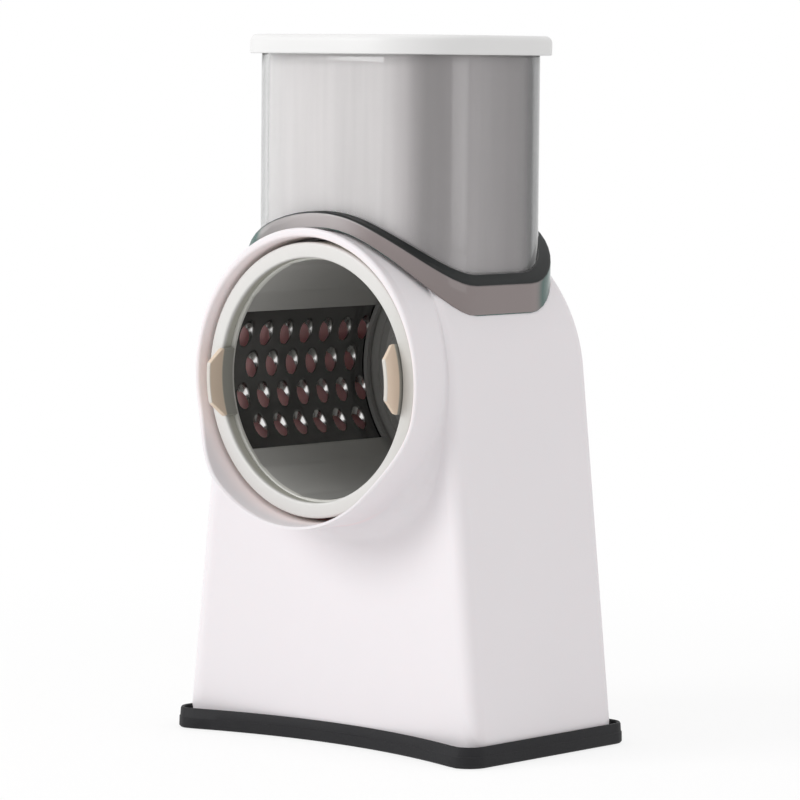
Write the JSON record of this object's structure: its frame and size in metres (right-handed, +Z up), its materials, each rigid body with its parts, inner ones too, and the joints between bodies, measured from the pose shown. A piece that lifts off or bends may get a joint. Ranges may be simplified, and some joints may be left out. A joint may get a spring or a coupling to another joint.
{
  "type": "rotary vegetable cutter",
  "caption": "Hand cranked drum grater in an arched tower housing with a clear hopper, lidded pusher, pull-out drum and suction base.",
  "frame": {"origin": "on the standing surface, under the middle of the housing's sides", "axes": "+Z up, -Y out of the drum's mouth, +Y towards the crank, X across"},
  "size_m": [0.1568, 0.1628, 0.2748],
  "materials": {
    "housing_plastic": "glossy white with a faint pink tint",
    "white_plastic": "satin white",
    "grey_plastic": "satin grey",
    "cream_plastic": "matt beige",
    "smoked_plastic": "clear plastic with a grey smoke tint",
    "black_rubber": "matt black",
    "grater_steel": "polished stainless sheet",
    "steel": "satin steel"
  },
  "bodies": {
    "housing": {"housing": "housing_plastic", "base_tray": "black_rubber", "base_screw_1": "steel", "base_screw_2": "steel", "base_screw_3": "steel", "base_screw_4": "steel", "cam_washer": "steel", "rear_bush": "grey_plastic", "shaft_seal": "black_rubber"},
    "crank": {"drive_shaft": "steel", "crank_arm": "housing_plastic", "arm_screw": "steel", "hub_cap": "white_plastic", "knob_spindle": "steel"},
    "knob": {"crank_knob": "housing_plastic", "knob_cap": "white_plastic"},
    "drum": {"drum_ring": "white_plastic", "drum_frame": "grey_plastic", "grater_sheet_1": "grater_steel", "grater_sheet_2": "grater_steel", "grater_sheet_3": "grater_steel", "drum_end_plate": "grey_plastic", "pull_tab_left": "cream_plastic", "pull_tab_right": "cream_plastic"},
    "hopper": {"hopper": "smoked_plastic"},
    "pusher": {"pusher_body": "white_plastic", "pusher_lid": "white_plastic"},
    "stem": {"pull_stem": "steel", "lever_pin": "steel", "suction_pad": "black_rubber"},
    "lever": {"suction_lever": "white_plastic"}
  },
  "joints": [
    {"name": "crank_spin", "type": "hinge", "parent": "housing", "child": "crank", "pos_m": [0, 0, 0.1425], "axis": [0, 1, 0], "continuous": true},
    {"name": "knob_spin", "type": "hinge", "parent": "crank", "child": "knob", "pos_m": [0, 0, 0.0645], "axis": [0, 1, 0], "continuous": true},
    {"name": "drum_pull", "type": "slide", "parent": "crank", "child": "drum", "axis": [0, -1, 0], "range_m": [0, 0.1]},
    {"name": "hopper_lift", "type": "slide", "parent": "housing", "child": "hopper", "axis": [0, 0, 1], "range_m": [0, 0.11]},
    {"name": "pusher_lift", "type": "slide", "parent": "hopper", "child": "pusher", "axis": [0, 0, 1], "range_m": [0, 0.095]},
    {"name": "stem_lift", "type": "slide", "parent": "housing", "child": "stem", "axis": [0, 0, 1], "range_m": [0, 0.00185], "deforming": ["suction_pad"]},
    {"name": "lever_turn", "type": "hinge", "parent": "stem", "child": "lever", "pos_m": [0, 0.008, 0.018], "axis": [1, 0, 0], "range_deg": [0, 18]}
  ],
  "couplings": [
    {"joint": "lever_turn", "follows": "stem_lift", "rad_per_m": 169.49}
  ]
}
